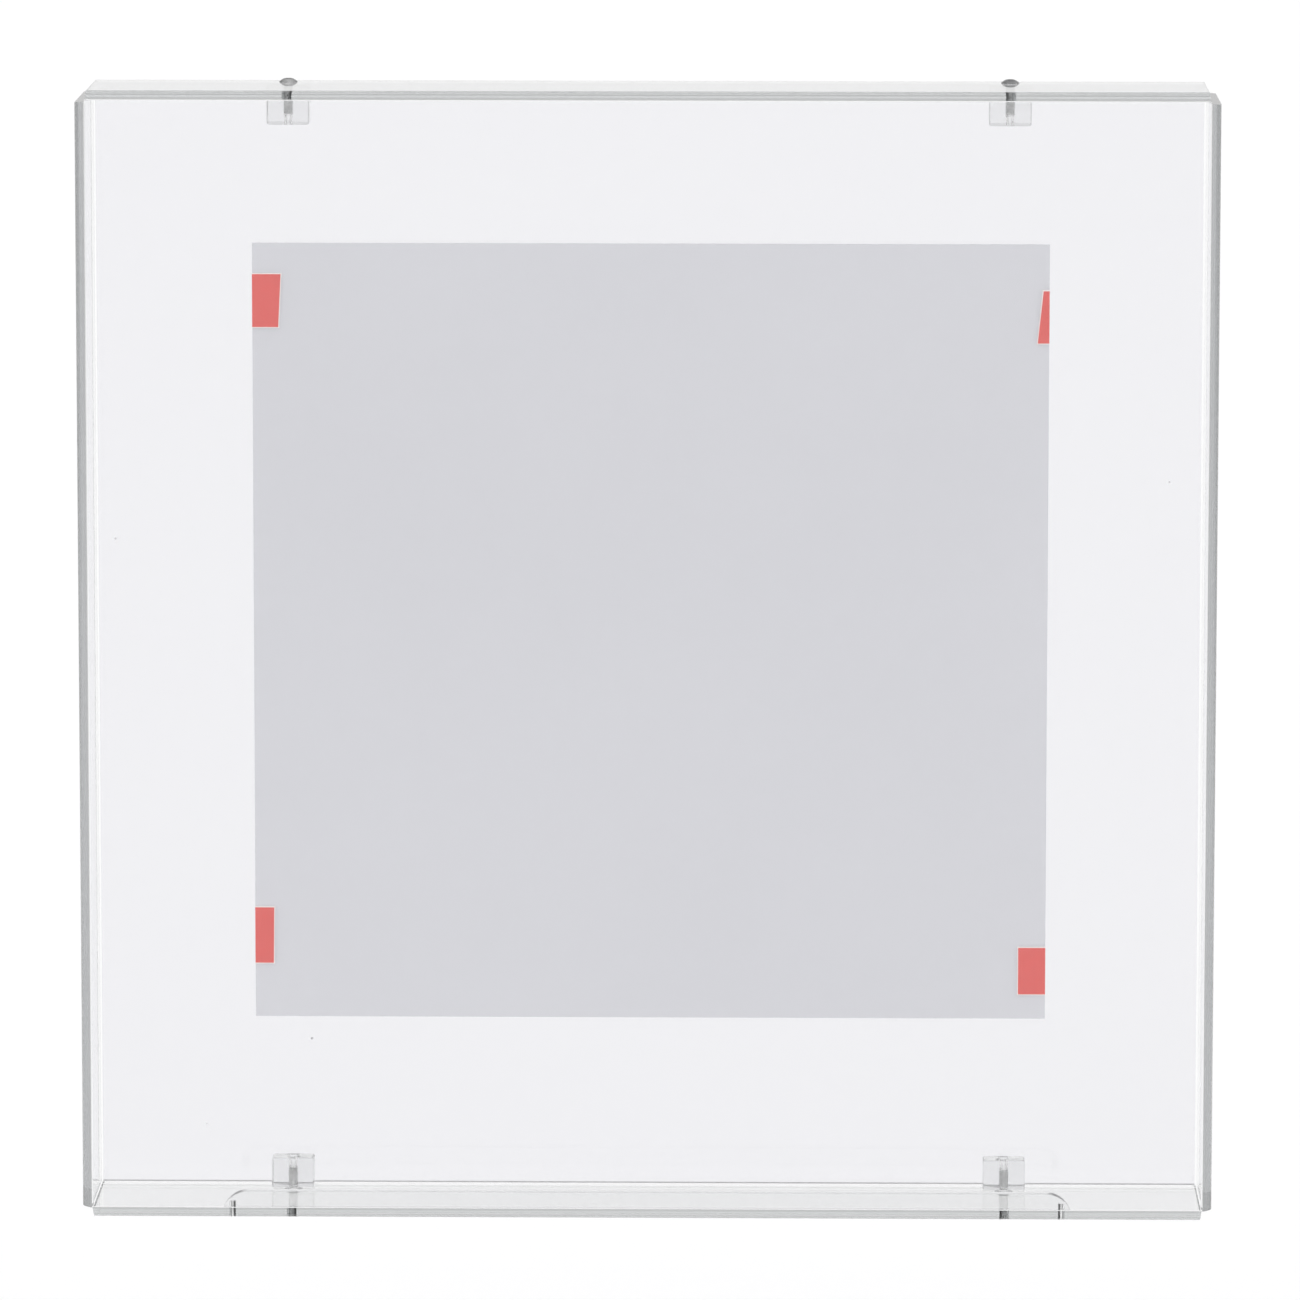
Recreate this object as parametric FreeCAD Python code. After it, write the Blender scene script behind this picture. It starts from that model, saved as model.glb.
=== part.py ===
import FreeCAD, Part
import math
import os

# Clear box frame: a bent clear front cover, a clear back panel dropped into it,
# four clear blocks with four screws, and a grey mounting sheet with tape tabs.
# The origin is the centre of the flat rear face. X is to the right as seen from
# the front, Y points to the wall, Z is up. All lengths are in millimetres.

# Cover
frame_width = 360.0
frame_height = 360.0
frame_depth = 45.0
cover_thickness = 3.0
bend_inner_radius = 0.5
notch_at_outer_face = 3.7
notch_at_inner_corner = 3.3

# Back panel
panel_thickness = 3.0
panel_clearance = 0.75

# Blocks on the back panel, and the screws that hold the cover on them
block_width = 13.5
block_height = 9.5
block_depth = 9.0
block_corner_radius = 0.8
screw_side_inset = 65.5
screw_diameter = 3.0
screw_length = 10.0
screw_tip_chamfer = 0.4
head_diameter = 5.8
head_height = 1.2
head_rim_height = 0.15
head_crown_diameter = 2.6
dome_rise_share = 0.63
dome_reach_share = 0.5
socket_across_flats = 2.0
socket_depth = 0.9
cover_hole_clearance = 0.1
block_hole_clearance = 0.05
pilot_hole_diameter = 2.5
thread_run_out = 0.25

# Grey mounting sheet, its margins to the frame's outer edges, and the tape
# strips behind it
sheet_left_margin = 53.5
sheet_right_margin = 52.5
sheet_top_margin = 51.5
sheet_bottom_margin = 58.5
sheet_thickness = 1.0
strip_width = 19.0
strip_thickness = 1.0
strip_side_inset = 12.0
strip_end_inset = 15.0

# Tape tabs along the sheet's left and right edges. End inset is measured from
# the sheet's nearer top or bottom edge, and reach inwards from its side edge, at
# the tab's upper and lower end.
pad_thickness = 0.8
liner_thickness = 0.2
liner_margin = 0.3
tab_sizes = {
    "top_left": {"end_inset": 9.6, "height": 17.5, "upper_reach": 9.4, "lower_reach": 8.6},
    "top_right": {"end_inset": 14.5, "height": 17.3, "upper_reach": 2.2, "lower_reach": 4.0},
    "bottom_left": {"end_inset": 17.3, "height": 18.6, "upper_reach": 6.4, "lower_reach": 6.2},
    "bottom_right": {"end_inset": 7.8, "height": 15.7, "upper_reach": 9.0, "lower_reach": 9.0},
}

# Rest lip along the bottom of the cover, with a pin at each end
lip_end_inset = 45.0
lip_height = 5.2
lip_thickness = 4.0
lip_corner_run = 7.8
lip_gap_to_pane = 0.6
pin_diameter = 2.0
pin_inset = 2.8
pin_depth_in_lip = 2.0
pin_clearance = 0.02

# Thickness of the glue wherever a piece is stuck to clear sheet, left open
glue_line = 0.05

# Length by which every cutting body runs past the faces that it cuts
overrun = 2.0

bend_outer_radius = bend_inner_radius + cover_thickness
front_y = -frame_depth
pane_inner_y = front_y + cover_thickness
panel_front_y = -panel_thickness
panel_width = frame_width - 2 * cover_thickness - 2 * panel_clearance
panel_height = frame_height - 2 * cover_thickness - 2 * panel_clearance
flap_inner_z = frame_height / 2 - cover_thickness
seat_y = panel_front_y - glue_line
screw_x = frame_width / 2 - screw_side_inset
screw_y = seat_y - block_depth / 2
sheet_left_x = sheet_left_margin - frame_width / 2
sheet_right_x = frame_width / 2 - sheet_right_margin
sheet_low_z = sheet_bottom_margin - frame_height / 2
sheet_top_z = frame_height / 2 - sheet_top_margin
sheet_rear_y = seat_y - strip_thickness
sheet_front_y = sheet_rear_y - sheet_thickness
lip_half_length = frame_width / 2 - lip_end_inset
lip_foot_z = glue_line - flap_inner_z
lip_y = pane_inner_y + lip_gap_to_pane
pin_x = lip_half_length - pin_inset

corners = {
    "top_left": (-1, 1),
    "top_right": (1, 1),
    "bottom_left": (-1, -1),
    "bottom_right": (1, -1),
}


def vec(x, y, z):
    return FreeCAD.Vector(x, y, z)


def box(low, high):
    """Block between two opposite corners."""
    size = high - low
    return Part.makeBox(size.x, size.y, size.z, low)


def upright_cylinder(radius, x, y, low_z, high_z):
    return Part.makeCylinder(radius, high_z - low_z, vec(x, y, low_z), vec(0, 0, 1))


def prism(points, travel):
    """Closed straight-sided outline, moved along travel."""
    wire = Part.makePolygon(points + [points[0]])
    return Part.Face(wire).extrude(travel)


def rounded_channel(half_span, radius, front, rear, half_length, place):
    """Box with its two long front edges rounded. place turns span, depth and
    length into a point."""
    turn = radius * (1 - math.sqrt(0.5))

    def at(span, depth):
        return place(span, depth, -half_length)

    left_arc = Part.Arc(
        at(-half_span, front + radius),
        at(-half_span + turn, front + turn),
        at(-half_span + radius, front),
    ).toShape()
    right_arc = Part.Arc(
        at(half_span - radius, front),
        at(half_span - turn, front + turn),
        at(half_span, front + radius),
    ).toShape()
    edges = [
        Part.makeLine(at(-half_span, rear), at(-half_span, front + radius)),
        left_arc,
        Part.makeLine(at(-half_span + radius, front), at(half_span - radius, front)),
        right_arc,
        Part.makeLine(at(half_span, front + radius), at(half_span, rear)),
        Part.makeLine(at(half_span, rear), at(-half_span, rear)),
    ]
    travel = place(0, 0, half_length) - place(0, 0, -half_length)
    return Part.Face(Part.Wire(edges)).extrude(travel)


def rounded_box(inset, radius, front, rear):
    """Box with all four front edges rounded, open for the cover's two skins."""
    half_width = frame_width / 2 - inset
    half_height = frame_height / 2 - inset
    across = rounded_channel(
        half_width, radius, front, rear, half_height, lambda span, depth, length: vec(span, depth, length)
    )
    upright = rounded_channel(
        half_height, radius, front, rear, half_width, lambda span, depth, length: vec(length, depth, span)
    )
    return across.common(upright)


def corner_notch(side, level):
    """Cut that parts two neighbouring flaps at one corner."""
    outer_x = frame_width / 2
    outer_z = frame_height / 2
    reach = [
        (outer_x + overrun, outer_z - notch_at_outer_face),
        (outer_x, outer_z - notch_at_outer_face),
        (outer_x - notch_at_inner_corner, outer_z - notch_at_inner_corner),
        (outer_x - notch_at_outer_face, outer_z),
        (outer_x - notch_at_outer_face, outer_z + overrun),
        (outer_x + overrun, outer_z + overrun),
    ]
    start_y = front_y - overrun
    points = [vec(side * x, start_y, level * z) for x, z in reach]
    return prism(points, vec(0, frame_depth + 2 * overrun, 0))


def front_cover():
    skin = rounded_box(0, bend_outer_radius, front_y, 0)
    hollow = rounded_box(cover_thickness, bend_inner_radius, pane_inner_y, overrun)
    cover = skin.cut(hollow)
    cuts = [corner_notch(side, level) for side, level in corners.values()]
    hole_radius = screw_diameter / 2 + cover_hole_clearance
    for side, level in corners.values():
        ends = sorted([level * (flap_inner_z - overrun), level * (frame_height / 2 + overrun)])
        cuts.append(upright_cylinder(hole_radius, side * screw_x, screw_y, ends[0], ends[1]))
    for side in (-1, 1):
        cuts.append(lip_pin_hole(side))
    return cover.cut(cuts)


def back_panel():
    return box(
        vec(-panel_width / 2, panel_front_y, -panel_height / 2),
        vec(panel_width / 2, 0, panel_height / 2),
    )


def mounting_block(side, level):
    """Clear block on the panel's front, its outer end level with the panel's edge.
    Its hole is wide as far as the screw reaches, and a narrower pilot hole from there."""
    outer_z = panel_height / 2
    inner_z = outer_z - block_height
    low_z, high_z = sorted([level * inner_z, level * outer_z])
    half_width = block_width / 2
    centre_x = side * screw_x
    block = box(
        vec(centre_x - half_width, seat_y - block_depth, low_z),
        vec(centre_x + half_width, seat_y, high_z),
    )
    inner_edges = []
    for edge in block.Edges:
        middle = edge.CenterOfMass
        along_depth = abs(middle.y - screw_y) < block_depth / 4
        at_side = abs(middle.x - centre_x) > half_width / 2
        at_inner_end = abs(abs(middle.z) - inner_z) < block_height / 4
        if along_depth and at_side and at_inner_end:
            inner_edges.append(edge)
    block = block.makeFillet(block_corner_radius, inner_edges)
    hole_radius = screw_diameter / 2 + block_hole_clearance
    tip_z = frame_height / 2 - screw_length
    outer_part = sorted([level * (tip_z - thread_run_out), level * (outer_z + overrun)])
    wide_hole = upright_cylinder(hole_radius, centre_x, screw_y, outer_part[0], outer_part[1])
    pilot_hole = upright_cylinder(
        pilot_hole_diameter / 2, centre_x, screw_y, low_z - overrun, high_z + overrun
    )
    return block.cut([wide_hole, pilot_hole])


def screw(side, level):
    """Low domed screw standing on the outer face of the top or bottom flap."""
    rim_radius = head_diameter / 2
    crown_radius = head_crown_diameter / 2
    shank_radius = screw_diameter / 2
    dome_run = rim_radius - crown_radius
    dome_rise = head_height - head_rim_height
    dome_middle = vec(
        rim_radius - dome_run * (1 - dome_reach_share), 0, head_rim_height + dome_rise * dome_rise_share
    )
    dome_foot = vec(rim_radius, 0, head_rim_height)
    dome_top = vec(crown_radius, 0, head_height)
    outline = [
        vec(rim_radius, 0, 0),
        vec(shank_radius, 0, 0),
        vec(shank_radius, 0, screw_tip_chamfer - screw_length),
        vec(shank_radius - screw_tip_chamfer, 0, -screw_length),
        vec(0, 0, -screw_length),
        vec(0, 0, head_height),
        dome_top,
    ]
    edges = [Part.makeLine(dome_foot, outline[0])]
    for start, end in zip(outline, outline[1:]):
        edges.append(Part.makeLine(start, end))
    edges.append(Part.Arc(dome_top, dome_middle, dome_foot).toShape())
    body = Part.Face(Part.Wire(edges)).revolve(vec(0, 0, 0), vec(0, 0, 1), 360)
    corner_radius = socket_across_flats / math.sqrt(3)
    hexagon = []
    for index in range(6):
        angle = math.radians(60 * index)
        hexagon.append(
            vec(corner_radius * math.cos(angle), corner_radius * math.sin(angle), head_height - socket_depth)
        )
    body = body.cut(prism(hexagon, vec(0, 0, socket_depth + overrun)))
    if level < 0:
        body.rotate(vec(0, 0, 0), vec(1, 0, 0), 180)
    body.translate(vec(side * screw_x, screw_y, level * frame_height / 2))
    return body


def sheet_side_x(side):
    return sheet_left_x if side < 0 else sheet_right_x


def mounting_sheet():
    return box(
        vec(sheet_left_x, sheet_front_y, sheet_low_z),
        vec(sheet_right_x, sheet_rear_y, sheet_top_z),
    )


def sheet_strip(side):
    """Tape strip between the sheet and the back panel."""
    outer_x = sheet_side_x(side) - side * strip_side_inset
    inner_x = outer_x - side * strip_width
    low_x, high_x = sorted([outer_x, inner_x])
    return box(
        vec(low_x, sheet_rear_y, sheet_low_z + strip_end_inset),
        vec(high_x, seat_y, sheet_top_z - strip_end_inset),
    )


def tab_layer(name, margin, rear_y, thickness):
    """One layer of a tape tab, drawn in from the tab's outline by margin."""
    tab = tab_sizes[name]
    side, level = corners[name]
    edge_x = sheet_side_x(side)
    if level > 0:
        top_z = sheet_top_z - tab["end_inset"]
    else:
        top_z = sheet_low_z + tab["end_inset"] + tab["height"]
    low_z = top_z - tab["height"]
    points = [
        vec(edge_x, rear_y, top_z - margin),
        vec(edge_x - side * (tab["upper_reach"] - margin), rear_y, top_z - margin),
        vec(edge_x - side * (tab["lower_reach"] - margin), rear_y, low_z + margin),
        vec(edge_x, rear_y, low_z + margin),
    ]
    return prism(points, vec(0, -thickness, 0))


def tape_pad(name):
    return tab_layer(name, 0, sheet_front_y, pad_thickness)


def tape_liner(name):
    return tab_layer(name, liner_margin, sheet_front_y - pad_thickness, liner_thickness)


def lip_pin_hole(side):
    """Hole for a lip pin, through the flap and into the lip."""
    radius = pin_diameter / 2 + pin_clearance
    low_z = -frame_height / 2 - overrun
    high_z = lip_foot_z + pin_depth_in_lip + pin_clearance
    return upright_cylinder(radius, side * pin_x, lip_y + lip_thickness / 2, low_z, high_z)


def rest_lip():
    """Low strip standing on the bottom flap, its upper corners rounded off."""
    top_z = lip_foot_z + lip_height
    # Radius of the arc that leaves the top level and meets the foot at the strip's end
    radius = (lip_corner_run ** 2 + lip_height ** 2) / (2 * lip_height)
    half_turn = math.asin(lip_corner_run / radius) / 2
    middle_x = lip_half_length - lip_corner_run + radius * math.sin(half_turn)
    middle_z = top_z - radius * (1 - math.cos(half_turn))
    left_foot = vec(-lip_half_length, lip_y, lip_foot_z)
    right_foot = vec(lip_half_length, lip_y, lip_foot_z)
    left_top = vec(lip_corner_run - lip_half_length, lip_y, top_z)
    right_top = vec(lip_half_length - lip_corner_run, lip_y, top_z)
    edges = [
        Part.makeLine(left_foot, right_foot),
        Part.Arc(right_foot, vec(middle_x, lip_y, middle_z), right_top).toShape(),
        Part.makeLine(right_top, left_top),
        Part.Arc(left_top, vec(-middle_x, lip_y, middle_z), left_foot).toShape(),
    ]
    strip = Part.Face(Part.Wire(edges)).extrude(vec(0, lip_thickness, 0))
    return strip.cut([lip_pin_hole(-1), lip_pin_hole(1)])


def lip_pin(side):
    low_z = -frame_height / 2
    high_z = lip_foot_z + pin_depth_in_lip
    return upright_cylinder(pin_diameter / 2, side * pin_x, lip_y + lip_thickness / 2, low_z, high_z)


def all_pieces():
    pieces = {
        "front_cover": front_cover(),
        "back_panel": back_panel(),
        "mounting_sheet": mounting_sheet(),
        "sheet_tape_left": sheet_strip(-1),
        "sheet_tape_right": sheet_strip(1),
        "rest_lip": rest_lip(),
        "lip_pin_left": lip_pin(-1),
        "lip_pin_right": lip_pin(1),
    }
    for name, (side, level) in corners.items():
        pieces["block_" + name] = mounting_block(side, level)
        pieces["screw_" + name] = screw(side, level)
        pieces["tab_pad_" + name] = tape_pad(name)
        pieces["tab_liner_" + name] = tape_liner(name)
    return pieces


os.makedirs("parts", exist_ok=True)
for node, shape in all_pieces().items():
    shape.exportStep("parts/" + node + ".step")
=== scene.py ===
import math

import bpy
from mathutils import Matrix, Vector


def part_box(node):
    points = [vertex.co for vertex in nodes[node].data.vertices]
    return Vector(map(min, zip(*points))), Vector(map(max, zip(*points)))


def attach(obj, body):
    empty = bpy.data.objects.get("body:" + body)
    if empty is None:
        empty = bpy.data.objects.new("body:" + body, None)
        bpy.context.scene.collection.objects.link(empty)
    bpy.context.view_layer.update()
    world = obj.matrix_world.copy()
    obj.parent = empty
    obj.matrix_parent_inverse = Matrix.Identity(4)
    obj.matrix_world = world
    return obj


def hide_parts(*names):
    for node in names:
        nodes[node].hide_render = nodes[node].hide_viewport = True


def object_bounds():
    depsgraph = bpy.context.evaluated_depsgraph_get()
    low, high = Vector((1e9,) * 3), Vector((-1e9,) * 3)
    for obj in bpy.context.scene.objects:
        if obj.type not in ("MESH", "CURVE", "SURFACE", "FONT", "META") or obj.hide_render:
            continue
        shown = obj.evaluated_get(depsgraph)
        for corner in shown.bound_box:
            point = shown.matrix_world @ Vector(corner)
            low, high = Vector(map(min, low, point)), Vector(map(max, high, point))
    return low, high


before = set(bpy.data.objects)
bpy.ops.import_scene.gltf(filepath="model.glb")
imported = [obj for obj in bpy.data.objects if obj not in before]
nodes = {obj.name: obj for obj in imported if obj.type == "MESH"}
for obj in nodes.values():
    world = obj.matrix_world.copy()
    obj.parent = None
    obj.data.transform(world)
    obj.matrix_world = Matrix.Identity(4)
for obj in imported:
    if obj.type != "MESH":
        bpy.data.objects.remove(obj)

# Clear box frame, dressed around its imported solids. All lengths are in metres, in
# the frame of the solids: X to the right seen from the front, Y to the wall, Z up.
#
# A fade is four numbers: the start and end of what drives it, and its value at each.
# Looks along a straight line from the camera are called direct.

cad_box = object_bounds()
corners = {
    "top_left": (-1, 1),
    "top_right": (1, 1),
    "bottom_left": (-1, -1),
    "bottom_right": (1, -1),
}
white = (1.0, 1.0, 1.0, 1.0)

# Camera, at the photograph's angle
sensor_width_mm = 36.0
lens_mm = 258.9
camera_distance = 2.954
camera_pitch = math.radians(8.11)
camera_yaw = math.radians(-0.91)
camera_roll = math.radians(0.04)
target_right = 0.001
target_up = 0.0035

# World. The fades run over a direction's Z, Y or distance from the middle plane.
high_fade = (0.05, 0.5, 1.0, 0.90)
overhead_fade = (0.6, 0.95, 0.0, 0.3)
softbox_fade = (-0.15, -0.7, 0.0, 0.35)
beside_fade = (0.30, 0.55, 0.0, -0.15)
beside_start_fade = (-0.3, 0.0, 0.0, 1.0)
behind_fade = (0.3, 0.8, 0.0, -0.12)
light_bounces = 64

# Floor
floor_drop = 0.12
floor_half_side = 15.0
floor_white = 0.70
floor_mottle = 0.99
floor_mottle_noise = {"scale": 3.0, "detail": 2.0}
floor_lift = 0.29
flag_start = 0.25
flag_end = 1.4
flag_widening = 0.12
flag_grey = 0.54
flag_lift = 0.21

# Clear plastic
plastic_ior = 1.49
plastic_density = 100.0
wave_noise = {"scale": 9.0, "detail": 1.0}
wave_strength = 0.001
wave_height = 0.0002
haze_noise = {"scale": 30.0, "detail": 3.0}
haze_fade = (0.3, 0.8, 0.0, 0.0005)
scratch_scale = 60.0
scratch_stretch = (1.0, 1.0, 0.08)
scratch_fade = (0.0, 0.004, 1.0, 0.0)
scratch_patch_noise = {"scale": 14.0, "detail": 2.0}
scratch_patch_fade = (0.5, 0.75, 0.0, 1.0)
dust_scale = 42.0
dust_fade = (0.012, 0.020, 1.0, 0.0)
dust_share_fade = (0.50, 0.52, 0.0, 1.0)
dust_colour = (0.55, 0.55, 0.56, 1.0)
dust_cover = 0.6
face_reach = 0.0001
rear_edge_roughness = 0.05
# Painted shade: grey for the side flaps' edges on the frame's rear plane
side_edge_painted_shade = (0.56, 0.56, 0.57, 1.0)
sawn_roughness = 0.35
sawn_cover = 0.75
cover_absorbed = (0.894, 0.898, 0.899, 1.0)
cover_scratches = 0.01
panel_absorbed = (0.78, 0.78, 0.80, 1.0)
panel_scratches = 0.08
panel_tint = (0.947, 0.944, 0.962, 1.0)
block_absorbed = (0.85, 0.855, 0.855, 1.0)
lip_absorbed = (0.85, 0.856, 0.856, 1.0)
small_piece_scratches = 0.10

# Grey sheet
sheet_dark = (0.605, 0.605, 0.64, 1.0)
sheet_light = (0.625, 0.625, 0.66, 1.0)
sheet_speckle = (0.57, 0.57, 0.605, 1.0)
sheet_cloud_noise = {"scale": 6.0, "detail": 3.0}
sheet_cloud_fade = (0.3, 0.7, 0.0, 1.0)
sheet_grain_noise = {"scale": 2600.0, "detail": 2.0, "roughness": 0.7}
sheet_speckle_fade = (0.35, 0.65, 0.0, 0.25)
sheet_roughness_fade = (0.3, 0.7, 0.50, 0.62)
sheet_grain_strength = 0.12
sheet_grain_height = 0.00005

# Foam tape and red film
foam_scale = 3200.0
foam_fade = (0.2, 0.7, 0.0, 1.0)
foam_dark = (0.82, 0.77, 0.75, 1.0)
foam_light = (0.90, 0.87, 0.855, 1.0)
foam_roughness = 0.8
foam_strength = 0.4
foam_height = 0.0001
film_dark = (0.66, 0.074, 0.063, 1.0)
film_light = (0.70, 0.085, 0.074, 1.0)
film_mottle_noise = {"scale": 900.0, "detail": 2.0}
film_mottle_fade = (0.35, 0.65, 0.0, 1.0)
film_ripple_noise = {"scale": 160.0, "detail": 2.0}
film_roughness_fade = (0.3, 0.7, 0.28, 0.40)
film_ripple_strength = 0.15
film_ripple_height = 0.0003

# Steel. The shank is painted lighter, as painted light that makes up for the light that the clear
# block takes from it.
pin_light = (0.72, 0.72, 0.72, 1.0)
pin_dark = (0.45, 0.45, 0.45, 1.0)
pin_roughness = 0.3
screw_light = (0.37, 0.37, 0.37, 1.0)
screw_dark = (0.17, 0.17, 0.175, 1.0)
screw_roughness = 0.16
screw_shank_painted_light = 0.45
shank_painted_light_in_flap = 1.9
shank_painted_light_roughness = 0.7
steel_mark_noise = {"scale": 1500.0, "detail": 3.0, "roughness": 0.6}
steel_mark_stretch = (1.0, 1.0, 0.2)
steel_mark_range = (0.3, 0.7)
steel_mark_roughness = 0.14
steel_mark_strength = 0.10
steel_mark_height = 0.00003
steel_stain_noise = {"scale": 380.0, "detail": 3.0}
steel_stain_fade = (0.35, 0.7, 0.0, 1.0)

# Screws and the holes that they sit in. The frame is square, so its half width is
# also the height of the flaps' outer faces, on which the screw heads sit.
flap_outer_height = cad_box[1].x
flap_inner_height = 0.177
thread_pitch = 0.0005
thread_depth = 0.00015
thread_rows_per_pitch = 6
thread_flank_share = 0.4
thread_bite = 0.000005
thread_run_out = 0.00025
neck_length = 0.0004
shank_radius = 0.0015
tip_chamfer = 0.0004
rim_height = 0.00015
crown_radius = 0.0013
dome_steps = 12
socket_across_flats = 0.002
socket_depth = 0.0009
socket_chamfer = 0.00008
socket_point_depth = 0.0003
seat_gap = 0.00002
pilot_radius = 0.00125
block_fillet = 0.0008
block_fillet_steps = 8
block_edge_radius = 0.0006
block_mouth_chamfer = 0.0002
ring_points = 72
sharp_angle_deg = 40.0
parallel_below = 1e-9
far_away = 1.0


class Graph:
    """Node tree of one material or world, with short calls for its nodes."""

    def __init__(self, tree):
        self.tree = tree
        self.tree.nodes.clear()

    def feed(self, socket, value):
        """Link an output to a socket, or set the socket's own value."""
        if isinstance(value, bpy.types.NodeSocket):
            self.tree.links.new(value, socket)
        else:
            socket.default_value = value

    def node(self, kind, inputs=None, **settings):
        made = self.tree.nodes.new(kind)
        for key, value in settings.items():
            setattr(made, key, value)
        for key, value in (inputs or {}).items():
            self.feed(made.inputs[key], value)
        return made

    def math(self, operation, first, second=0.0, third=0.0, clamp=False):
        made = self.node("ShaderNodeMath", {0: first, 1: second, 2: third}, operation=operation)
        made.use_clamp = clamp
        return made.outputs[0]

    def remap(self, value, low, high, to_low, to_high, smooth=False):
        made = self.node(
            "ShaderNodeMapRange",
            {"Value": value, "From Min": low, "From Max": high, "To Min": to_low, "To Max": to_high},
        )
        made.interpolation_type = "SMOOTHSTEP" if smooth else "LINEAR"
        made.clamp = True
        return made.outputs[0]

    def place(self, scale=(1.0, 1.0, 1.0)):
        """Object coordinates, in metres, stretched by scale."""
        coordinates = self.node("ShaderNodeTexCoord").outputs["Object"]
        return self.node("ShaderNodeMapping", {"Vector": coordinates, "Scale": scale}).outputs[0]

    def parts(self, vector):
        """The X, Y and Z of a vector."""
        return self.node("ShaderNodeSeparateXYZ", {0: vector}).outputs

    def noise(self, scale, detail=2.0, roughness=0.5, vector=None):
        inputs = {"Scale": scale, "Detail": detail, "Roughness": roughness}
        inputs["Vector"] = vector if vector is not None else self.place()
        return self.node("ShaderNodeTexNoise", inputs).outputs["Fac"]

    def cells(self, scale, feature="F1", vector=None, output="Distance"):
        inputs = {"Scale": scale, "Vector": vector if vector is not None else self.place()}
        return self.node("ShaderNodeTexVoronoi", inputs, feature=feature).outputs[output]

    def mix_colour(self, factor, first, second):
        made = self.node("ShaderNodeMix", data_type="RGBA")
        sockets = [s for s in made.inputs if s.enabled]
        for socket, value in zip(sockets, (factor, first, second)):
            self.feed(socket, value)
        return next(s for s in made.outputs if s.enabled)

    def bump(self, height, strength, distance):
        inputs = {"Height": height, "Strength": strength, "Distance": distance}
        return self.node("ShaderNodeBump", inputs).outputs[0]

    def principled(self, inputs):
        """Principled shader on the output's surface. Returns the output."""
        shader = self.node("ShaderNodeBsdfPrincipled", inputs)
        return self.node("ShaderNodeOutputMaterial", {"Surface": shader.outputs[0]})


def new_material(name):
    material = bpy.data.materials.new(name)
    material.use_nodes = True
    return material, Graph(material.node_tree)


def panel_edges(graph, spot):
    """One on the back panel's upper and lower edge, which are sawn, zero elsewhere."""
    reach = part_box("back_panel")[1].z - face_reach
    return graph.math("GREATER_THAN", graph.math("ABSOLUTE", spot[2]), reach)


def scratches_on(graph):
    """Long fine scratches that run up and down, in patches."""
    streaks = graph.cells(scratch_scale, "DISTANCE_TO_EDGE", graph.place(scratch_stretch))
    streak = graph.remap(streaks, *scratch_fade)
    patches = graph.remap(graph.noise(**scratch_patch_noise), *scratch_patch_fade, smooth=True)
    return graph.math("MULTIPLY", streak, patches)


def dust_on(graph):
    """A speck of dust in a few of many cells."""
    dust = graph.remap(graph.cells(dust_scale), *dust_fade, smooth=True)
    chosen = graph.remap(graph.cells(dust_scale, output="Color"), *dust_share_fade)
    return graph.math("MULTIPLY", dust, chosen, clamp=True)


def clear_plastic(name, absorbed, scratches, tint=white, sawn_faces=None):
    """Clear plastic sheet with faint waves, fine scratches and a few specks of dust.
    It is a little rougher on the frame's rear plane, where the side flaps' edges are
    painted darker too, as painted shade. sawn_faces finds the faces that a saw left matt."""
    material, graph = new_material(name)
    waves = graph.noise(**wave_noise)
    scratch = scratches_on(graph)
    rough = graph.remap(graph.noise(**haze_noise), *haze_fade)
    rough = graph.math("MULTIPLY_ADD", scratch, scratches, rough)
    spot = graph.parts(graph.place())
    rear = graph.remap(spot[1], -face_reach, 0.0, 0.0, 1.0)
    beside = graph.math("ABSOLUTE", spot[0])
    side_flap = graph.math("GREATER_THAN", beside, flap_inner_height - face_reach)
    rough = graph.math("MULTIPLY_ADD", rear, rear_edge_roughness, rough)
    matt = dust_on(graph)
    if sawn_faces is not None:
        sawn = sawn_faces(graph, spot)
        matt = graph.math("MAXIMUM", matt, graph.math("MULTIPLY", sawn, sawn_cover))
        rough = graph.math("MULTIPLY_ADD", sawn, sawn_roughness, rough)
    clear = graph.math("SUBTRACT", 1.0, graph.math("MULTIPLY", matt, dust_cover))
    colour = graph.mix_colour(matt, tint, dust_colour)
    # Painted shade: the side flaps' edges on the rear plane are greyed
    colour = graph.mix_colour(graph.math("MULTIPLY", rear, side_flap), colour, side_edge_painted_shade)
    output = graph.principled(
        {
            "Base Color": colour,
            "Roughness": rough,
            "IOR": plastic_ior,
            "Transmission Weight": clear,
            "Normal": graph.bump(waves, wave_strength, wave_height),
        }
    )
    volume = graph.node("ShaderNodeVolumeAbsorption", {"Color": absorbed, "Density": plastic_density})
    graph.feed(output.inputs["Volume"], volume.outputs[0])
    return material


def grey_sheet_plastic():
    """Smooth matt sheet with a very fine grain and soft clouds of tone."""
    material, graph = new_material("grey_sheet")
    grain = graph.noise(**sheet_grain_noise)
    tone = graph.remap(graph.noise(**sheet_cloud_noise), *sheet_cloud_fade, smooth=True)
    colour = graph.mix_colour(tone, sheet_dark, sheet_light)
    colour = graph.mix_colour(graph.remap(grain, *sheet_speckle_fade), colour, sheet_speckle)
    graph.principled(
        {
            "Base Color": colour,
            "Roughness": graph.remap(grain, *sheet_roughness_fade),
            "Normal": graph.bump(grain, sheet_grain_strength, sheet_grain_height),
        }
    )
    return material


def foam_tape():
    """Pale closed-cell foam with a fine pitted surface."""
    material, graph = new_material("white_tape")
    pits = graph.cells(foam_scale)
    graph.principled(
        {
            "Base Color": graph.mix_colour(graph.remap(pits, *foam_fade), foam_dark, foam_light),
            "Roughness": foam_roughness,
            "Normal": graph.bump(pits, foam_strength, foam_height),
        }
    )
    return material


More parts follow.
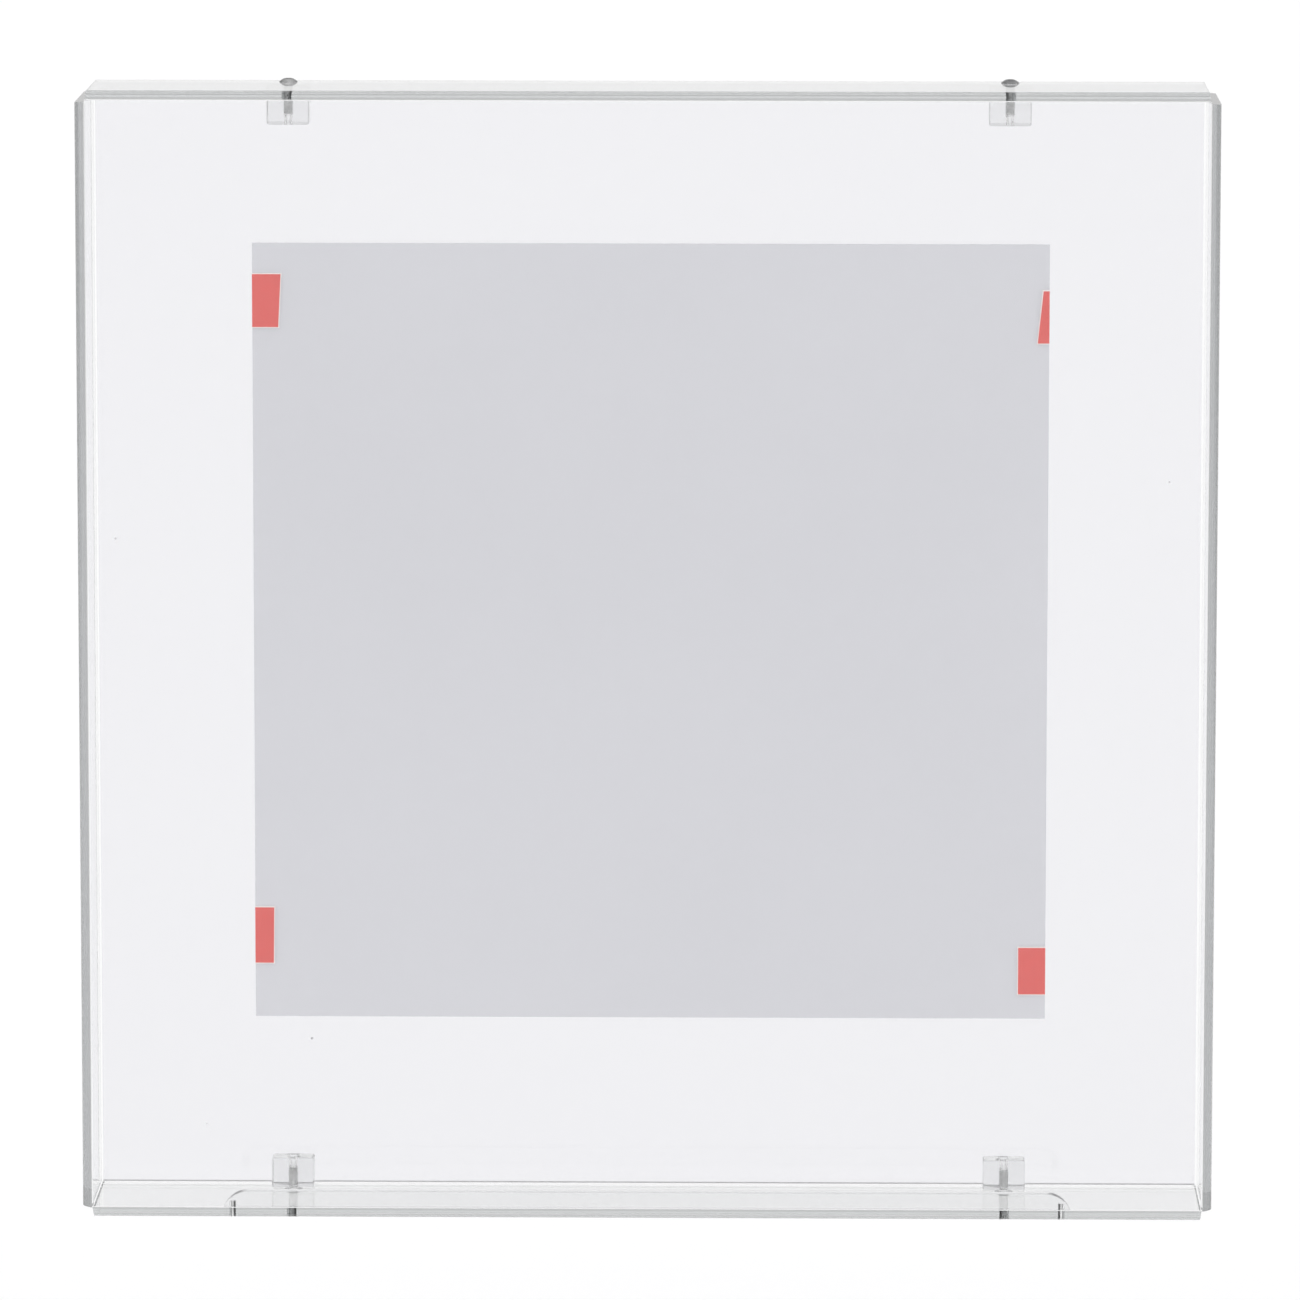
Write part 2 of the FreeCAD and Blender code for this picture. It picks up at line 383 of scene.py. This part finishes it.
def red_film():
    """Thin red release film, glossy, with slight ripples."""
    material, graph = new_material("red_liner")
    ripples = graph.noise(**film_ripple_noise)
    mottle = graph.remap(graph.noise(**film_mottle_noise), *film_mottle_fade)
    graph.principled(
        {
            "Base Color": graph.mix_colour(mottle, film_dark, film_light),
            "Roughness": graph.remap(ripples, *film_roughness_fade),
            "Normal": graph.bump(ripples, film_ripple_strength, film_ripple_height),
        }
    )
    return material


def steel(name, light, dark, roughness, painted_shank_light=0.0):
    """Turned metal with fine marks, darker in patches. A painted light lifts the colour of
    what lies inside the flaps' outer faces and makes it rougher, which on a screw is its
    shank, and more so within the flap."""
    material, graph = new_material(name)
    marks = graph.noise(vector=graph.place(steel_mark_stretch), **steel_mark_noise)
    stains = graph.remap(graph.noise(**steel_stain_noise), *steel_stain_fade, smooth=True)
    height = graph.math("ABSOLUTE", graph.parts(graph.place())[2])
    inside = graph.math("LESS_THAN", height, flap_outer_height)
    in_flap = graph.remap(
        height, flap_inner_height - seat_gap, flap_inner_height, 1.0, shank_painted_light_in_flap
    )
    # Painted light: the shank's colour is lifted towards white, most within the flap
    painted_light = graph.math("MULTIPLY", graph.math("MULTIPLY", inside, painted_shank_light), in_flap, clamp=True)
    rough = graph.remap(marks, *steel_mark_range, roughness, roughness + steel_mark_roughness)
    graph.principled(
        {
            "Base Color": graph.mix_colour(painted_light, graph.mix_colour(stains, light, dark), white),
            "Metallic": 1.0,
            "Roughness": graph.math("MULTIPLY_ADD", painted_light, shank_painted_light_roughness, rough),
            "Normal": graph.bump(marks, steel_mark_strength, steel_mark_height),
        }
    )
    return material


def studio_world():
    """White round about for direct looks, with a soft studio as light: brighter
    overhead and behind the camera, a little darker high up, beside and behind the frame."""
    world = bpy.data.worlds.new("studio")
    world.use_nodes = True
    bpy.context.scene.world = world
    graph = Graph(world.node_tree)
    right, back, up = graph.parts(graph.node("ShaderNodeTexCoord").outputs["Generated"])
    high = graph.remap(up, *high_fade, smooth=True)
    overhead = graph.remap(up, *overhead_fade, smooth=True)
    softbox = graph.remap(back, *softbox_fade, smooth=True)
    beside = graph.remap(graph.math("ABSOLUTE", right), *beside_fade, smooth=True)
    beside = graph.math("MULTIPLY", beside, graph.remap(back, *beside_start_fade))
    behind = graph.remap(back, *behind_fade, smooth=True)
    level = graph.math("ADD", graph.math("ADD", high, overhead), graph.math("ADD", softbox, beside))
    level = graph.math("ADD", level, behind)
    seen = graph.node("ShaderNodeBackground", {"Color": white, "Strength": 1.0})
    light = graph.node("ShaderNodeBackground", {"Color": white, "Strength": level})
    direct = graph.node("ShaderNodeLightPath").outputs["Is Camera Ray"]
    both = graph.node("ShaderNodeMixShader", {0: direct, 1: light.outputs[0], 2: seen.outputs[0]})
    graph.node("ShaderNodeOutputWorld", {"Surface": both.outputs[0]})


def floor_material():
    """Plain white floor that keeps its shadows. Direct, mirrored and refracted looks
    add a lift that brings the lit floor up to white. All but direct looks find it
    darker behind the frame, off to both sides, which draws the edges of clear plastic."""
    material, graph = new_material("floor_white")
    path = graph.node("ShaderNodeLightPath").outputs
    looked_at = graph.math("MAXIMUM", path["Is Camera Ray"], path["Is Glossy Ray"])
    looked_at = graph.math("MAXIMUM", looked_at, path["Is Transmission Ray"])
    spot = graph.parts(graph.place())
    widening = graph.math("MULTIPLY", spot[1], flag_widening)
    aside = graph.math("SUBTRACT", graph.math("ABSOLUTE", spot[0]), widening)
    aside = graph.remap(aside, flag_start, flag_end, 0.0, 1.0, smooth=True)
    behind = graph.remap(spot[1], 0.0, flag_start, 0.0, 1.0, smooth=True)
    not_direct = graph.math("SUBTRACT", 1.0, path["Is Camera Ray"])
    flagged = graph.math("MULTIPLY", graph.math("MULTIPLY", aside, behind), not_direct)
    plain = (floor_white, floor_white, floor_white, 1.0)
    mottled = (floor_white * floor_mottle, floor_white * floor_mottle, floor_white, 1.0)
    colour = graph.mix_colour(graph.noise(**floor_mottle_noise), plain, mottled)
    colour = graph.mix_colour(flagged, colour, (flag_grey, flag_grey, flag_grey, 1.0))
    diffuse = graph.node("ShaderNodeBsdfDiffuse", {"Color": colour})
    lift = graph.math("MULTIPLY", looked_at, graph.remap(flagged, 0.0, 1.0, floor_lift, flag_lift))
    glow = graph.node("ShaderNodeEmission", {"Color": white, "Strength": lift})
    both = graph.node("ShaderNodeAddShader", {0: diffuse.outputs[0], 1: glow.outputs[0]})
    graph.node("ShaderNodeOutputMaterial", {"Surface": both.outputs[0]})
    return material


def make_floor():
    level = cad_box[0].z - floor_drop
    reach = floor_half_side
    outline = [(-reach, -reach), (reach, -reach), (reach, reach), (-reach, reach)]
    mesh = bpy.data.meshes.new("floor")
    mesh.from_pydata([(x, y, level) for x, y in outline], [], [(0, 1, 2, 3)])
    mesh.materials.append(floor_material())
    floor = bpy.data.objects.new("floor", mesh)
    bpy.context.scene.collection.objects.link(floor)


def make_camera():
    """Camera that looks at a point of the front face from the photograph's angle."""
    target = Vector((target_right, cad_box[0].y, target_up))
    forward = Vector(
        (
            math.sin(camera_yaw) * math.cos(camera_pitch),
            math.cos(camera_yaw) * math.cos(camera_pitch),
            -math.sin(camera_pitch),
        )
    )
    level_right = Vector((math.cos(camera_yaw), -math.sin(camera_yaw), 0))
    level_up = level_right.cross(forward)
    right = level_right * math.cos(camera_roll) + level_up * math.sin(camera_roll)
    up = level_up * math.cos(camera_roll) - level_right * math.sin(camera_roll)
    data = bpy.data.cameras.new("camera")
    data.sensor_width = sensor_width_mm
    data.lens = lens_mm
    camera = bpy.data.objects.new("camera", data)
    bpy.context.scene.collection.objects.link(camera)
    turn = Matrix((right, up, -forward)).transposed().to_4x4()
    camera.matrix_world = Matrix.Translation(target - forward * camera_distance) @ turn
    bpy.context.scene.camera = camera


def ring_angles():
    return [2 * math.pi * index / ring_points for index in range(ring_points)]


def ring(radius, height):
    """Closed row of points about the Z axis. radius is a number or a function of the
    angle."""
    points = []
    for angle in ring_angles():
        reach = radius(angle) if callable(radius) else radius
        points.append((reach * math.cos(angle), reach * math.sin(angle), height))
    return points


def distance_to_edge(edge, slope):
    """Distance to a straight edge along a ray. A ray along the edge never meets it."""
    return edge / slope if abs(slope) > parallel_below else far_away


def rectangle_ring(low, high, height):
    """Closed row of points round a rectangle with rounded corners, given by two
    opposite corners that lie either side of the Z axis."""
    points = []
    for angle in ring_angles():
        across, along = math.cos(angle), math.sin(angle)
        side = high[0] if across > 0 else low[0]
        end = high[1] if along > 0 else low[1]
        reach = min(distance_to_edge(side, across), distance_to_edge(end, along))
        point = Vector((reach * across, reach * along))
        centre_x = side - math.copysign(block_edge_radius, side)
        centre_y = end - math.copysign(block_edge_radius, end)
        centre = Vector((centre_x, centre_y))
        past_side = (point.x - centre.x) * side > 0
        past_end = (point.y - centre.y) * end > 0
        if past_side and past_end:
            point = centre + (point - centre).normalized() * block_edge_radius
        points.append((point.x, point.y, height))
    return points


def hexagon_radius(across_flats):
    """Radius of a hexagon's outline as a function of the angle."""

    def reach(angle):
        from_flat = (angle % (math.pi / 3)) - math.pi / 6
        return across_flats / 2 / math.cos(from_flat)

    return reach


def thread_radius(height):
    """Radius of a V thread with flat crests and roots, as a function of the angle."""

    def reach(angle):
        turn = (height / thread_pitch + angle / (2 * math.pi)) % 1.0
        flank = (abs(2 * turn - 1) - (0.5 - thread_flank_share)) / (2 * thread_flank_share)
        started = min(1.0, max(0.0, (-height - neck_length) / thread_pitch))
        return shank_radius - thread_depth * (1 - min(1.0, max(0.0, flank))) * started

    return reach


def narrowed(radius, limit):
    """The lesser of a radius function and a number."""
    return lambda angle: min(radius(angle), limit)


def tightened(radius, bite):
    """A radius function less a number."""
    return lambda angle: radius(angle) - bite


def thread_heights(lowest):
    """Levels of a thread's rows from the neck down to the lowest."""
    step = thread_pitch / thread_rows_per_pitch
    count = int((-neck_length - lowest) / step)
    return [-neck_length - step * row for row in range(count + 1)]


def screw_rings(head_height, head_radius, tip):
    """Rings of a domed screw with a hex socket, from the socket's floor to the tip."""
    outline = hexagon_radius(socket_across_flats)
    mouth = hexagon_radius(socket_across_flats + 2 * socket_chamfer)
    rings = [
        ring(outline, head_height - socket_depth),
        ring(outline, head_height - socket_chamfer),
        ring(mouth, head_height),
    ]
    rise = head_height - rim_height
    centre = (crown_radius ** 2 - head_radius ** 2 + rise ** 2) / (2 * rise)
    sphere = math.hypot(head_radius, centre)
    for step in range(dome_steps + 1):
        radius = crown_radius + (head_radius - crown_radius) * step / dome_steps
        rings.append(ring(radius, rim_height + centre + math.sqrt(sphere ** 2 - radius ** 2)))
    rings.append(ring(head_radius - seat_gap, seat_gap))
    rings.append(ring(shank_radius - thread_depth, seat_gap))
    rings.append(ring(shank_radius, -neck_length))
    for height in thread_heights(tip)[1:]:
        chamfer_limit = shank_radius - tip_chamfer + (height - tip)
        rings.append(ring(narrowed(thread_radius(height), chamfer_limit), height))
    rings.append(ring(shank_radius - tip_chamfer, tip))
    return rings


def block_rings(low, high, tip):
    """Rings of a drilled and tapped block: down its sides from the end at the flap,
    over the filleted inner end, and back up through the hole."""
    inner, outer = low[2], high[2]
    rings = [ring(shank_radius + block_mouth_chamfer, outer)]
    for height in thread_heights(tip - thread_run_out):
        if height < outer - block_mouth_chamfer:
            rings.append(ring(tightened(thread_radius(height), thread_bite), height))
    rings.append(ring(pilot_radius, tip - 2 * thread_run_out))
    rings.append(ring(pilot_radius, inner + block_mouth_chamfer))
    rings.append(ring(pilot_radius + block_mouth_chamfer, inner))
    for step in range(block_fillet_steps + 1):
        angle = math.pi / 2 * step / block_fillet_steps
        drawn_in = block_fillet * (1 - math.sin(angle))
        height = inner + block_fillet * (1 - math.cos(angle))
        near = (low[0] + drawn_in, low[1] + drawn_in)
        far = (high[0] - drawn_in, high[1] - drawn_in)
        rings.append(rectangle_ring(near, far, height))
    rings.append(rectangle_ring(low, high, outer))
    return rings[::-1]


def lofted(name, rings, matrix, material, start_cap=None, end_cap=None, closed=False):
    """Skin over rings of equal count. A cap is the middle point that closes an end."""
    points = [point for made in rings for point in made]
    faces = []
    count = ring_points
    rows = len(rings)
    for row in range(rows if closed else rows - 1):
        start = row * count
        below = (row + 1) % rows * count
        for index in range(count):
            following = (index + 1) % count
            faces.append((start + index, below + index, below + following, start + following))
    for cap, row, turned in ((start_cap, 0, False), (end_cap, rows - 1, True)):
        if cap is None:
            continue
        middle = len(points)
        points.append(cap)
        for index in range(count):
            edge = [row * count + index, row * count + (index + 1) % count]
            faces.append((middle, *reversed(edge)) if turned else (middle, *edge))
    mesh = bpy.data.meshes.new(name)
    mesh.from_pydata(points, [], faces)
    mesh.transform(matrix)
    mesh.materials.append(material)
    mesh.polygons.foreach_set("use_smooth", [True] * len(mesh.polygons))
    mesh.set_sharp_from_angle(angle=math.radians(sharp_angle_deg))
    mesh.update()
    piece = bpy.data.objects.new(name, mesh)
    bpy.context.scene.collection.objects.link(piece)
    return piece


def screw_place(corner):
    """Matrix from a screw's own frame, head up on the flap, to its corner."""
    low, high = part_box("screw_" + corner)
    level = corners[corner][1]
    middle = (low + high) / 2
    turn = Matrix.Identity(4) if level > 0 else Matrix.Rotation(math.pi, 4, "X")
    return Matrix.Translation((middle.x, middle.y, level * flap_outer_height)) @ turn


def screw_span(corner):
    """Head height, head radius and tip level in the screw's own frame."""
    low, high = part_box("screw_" + corner)
    level = corners[corner][1]
    far = high.z if level > 0 else -low.z
    near = low.z if level > 0 else -high.z
    return far - flap_outer_height, (high.x - low.x) / 2, near - flap_outer_height


def screw_piece(corner, material):
    """Domed screw with a real thread, in its solid's place."""
    node = "screw_" + corner
    head_height, head_radius, tip = screw_span(corner)
    piece = lofted(
        node + "_threaded",
        screw_rings(head_height, head_radius, tip),
        screw_place(corner),
        material,
        start_cap=(0, 0, head_height - socket_depth - socket_point_depth),
        end_cap=(0, 0, tip),
    )
    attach(piece, node)
    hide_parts(node)


def block_piece(corner, material):
    """Clear block with its tapped hole, in its solid's place."""
    node = "block_" + corner
    matrix = screw_place(corner)
    ends = [matrix.inverted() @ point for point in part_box(node)]
    low = [min(a, b) for a, b in zip(*ends)]
    high = [max(a, b) for a, b in zip(*ends)]
    rings = block_rings(low, high, screw_span(corner)[2])
    piece = lofted(node + "_tapped", rings, matrix, material, closed=True)
    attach(piece, "frame")
    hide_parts(node)


def dress(node, material):
    mesh = nodes[node].data
    mesh.materials.clear()
    mesh.materials.append(material)


def dress_everything():
    cover = clear_plastic("clear_cover", cover_absorbed, cover_scratches)
    panel = clear_plastic("clear_panel", panel_absorbed, panel_scratches, panel_tint, panel_edges)
    blocks = clear_plastic("clear_blocks", block_absorbed, small_piece_scratches)
    lip = clear_plastic("clear_lip", lip_absorbed, small_piece_scratches)
    tape = foam_tape()
    film = red_film()
    pins = steel("dark_steel", pin_light, pin_dark, pin_roughness)
    screw_steel = steel("screw_steel", screw_light, screw_dark, screw_roughness, screw_shank_painted_light)
    dress("front_cover", cover)
    dress("back_panel", panel)
    dress("mounting_sheet", grey_sheet_plastic())
    dress("rest_lip", lip)
    for side in ("left", "right"):
        dress("sheet_tape_" + side, tape)
        dress("lip_pin_" + side, pins)
    for corner in corners:
        block_piece(corner, blocks)
        dress("tab_pad_" + corner, tape)
        dress("tab_liner_" + corner, film)
        screw_piece(corner, screw_steel)


def set_up_rendering():
    """Light goes on through many clear faces, and keeps its full strength there."""
    scene = bpy.context.scene
    scene.view_settings.view_transform = "Standard"
    scene.cycles.max_bounces = light_bounces
    scene.cycles.transmission_bounces = light_bounces
    scene.cycles.glossy_bounces = light_bounces
    scene.cycles.blur_glossy = 0.0


dress_everything()
studio_world()
make_floor()
make_camera()
set_up_rendering()
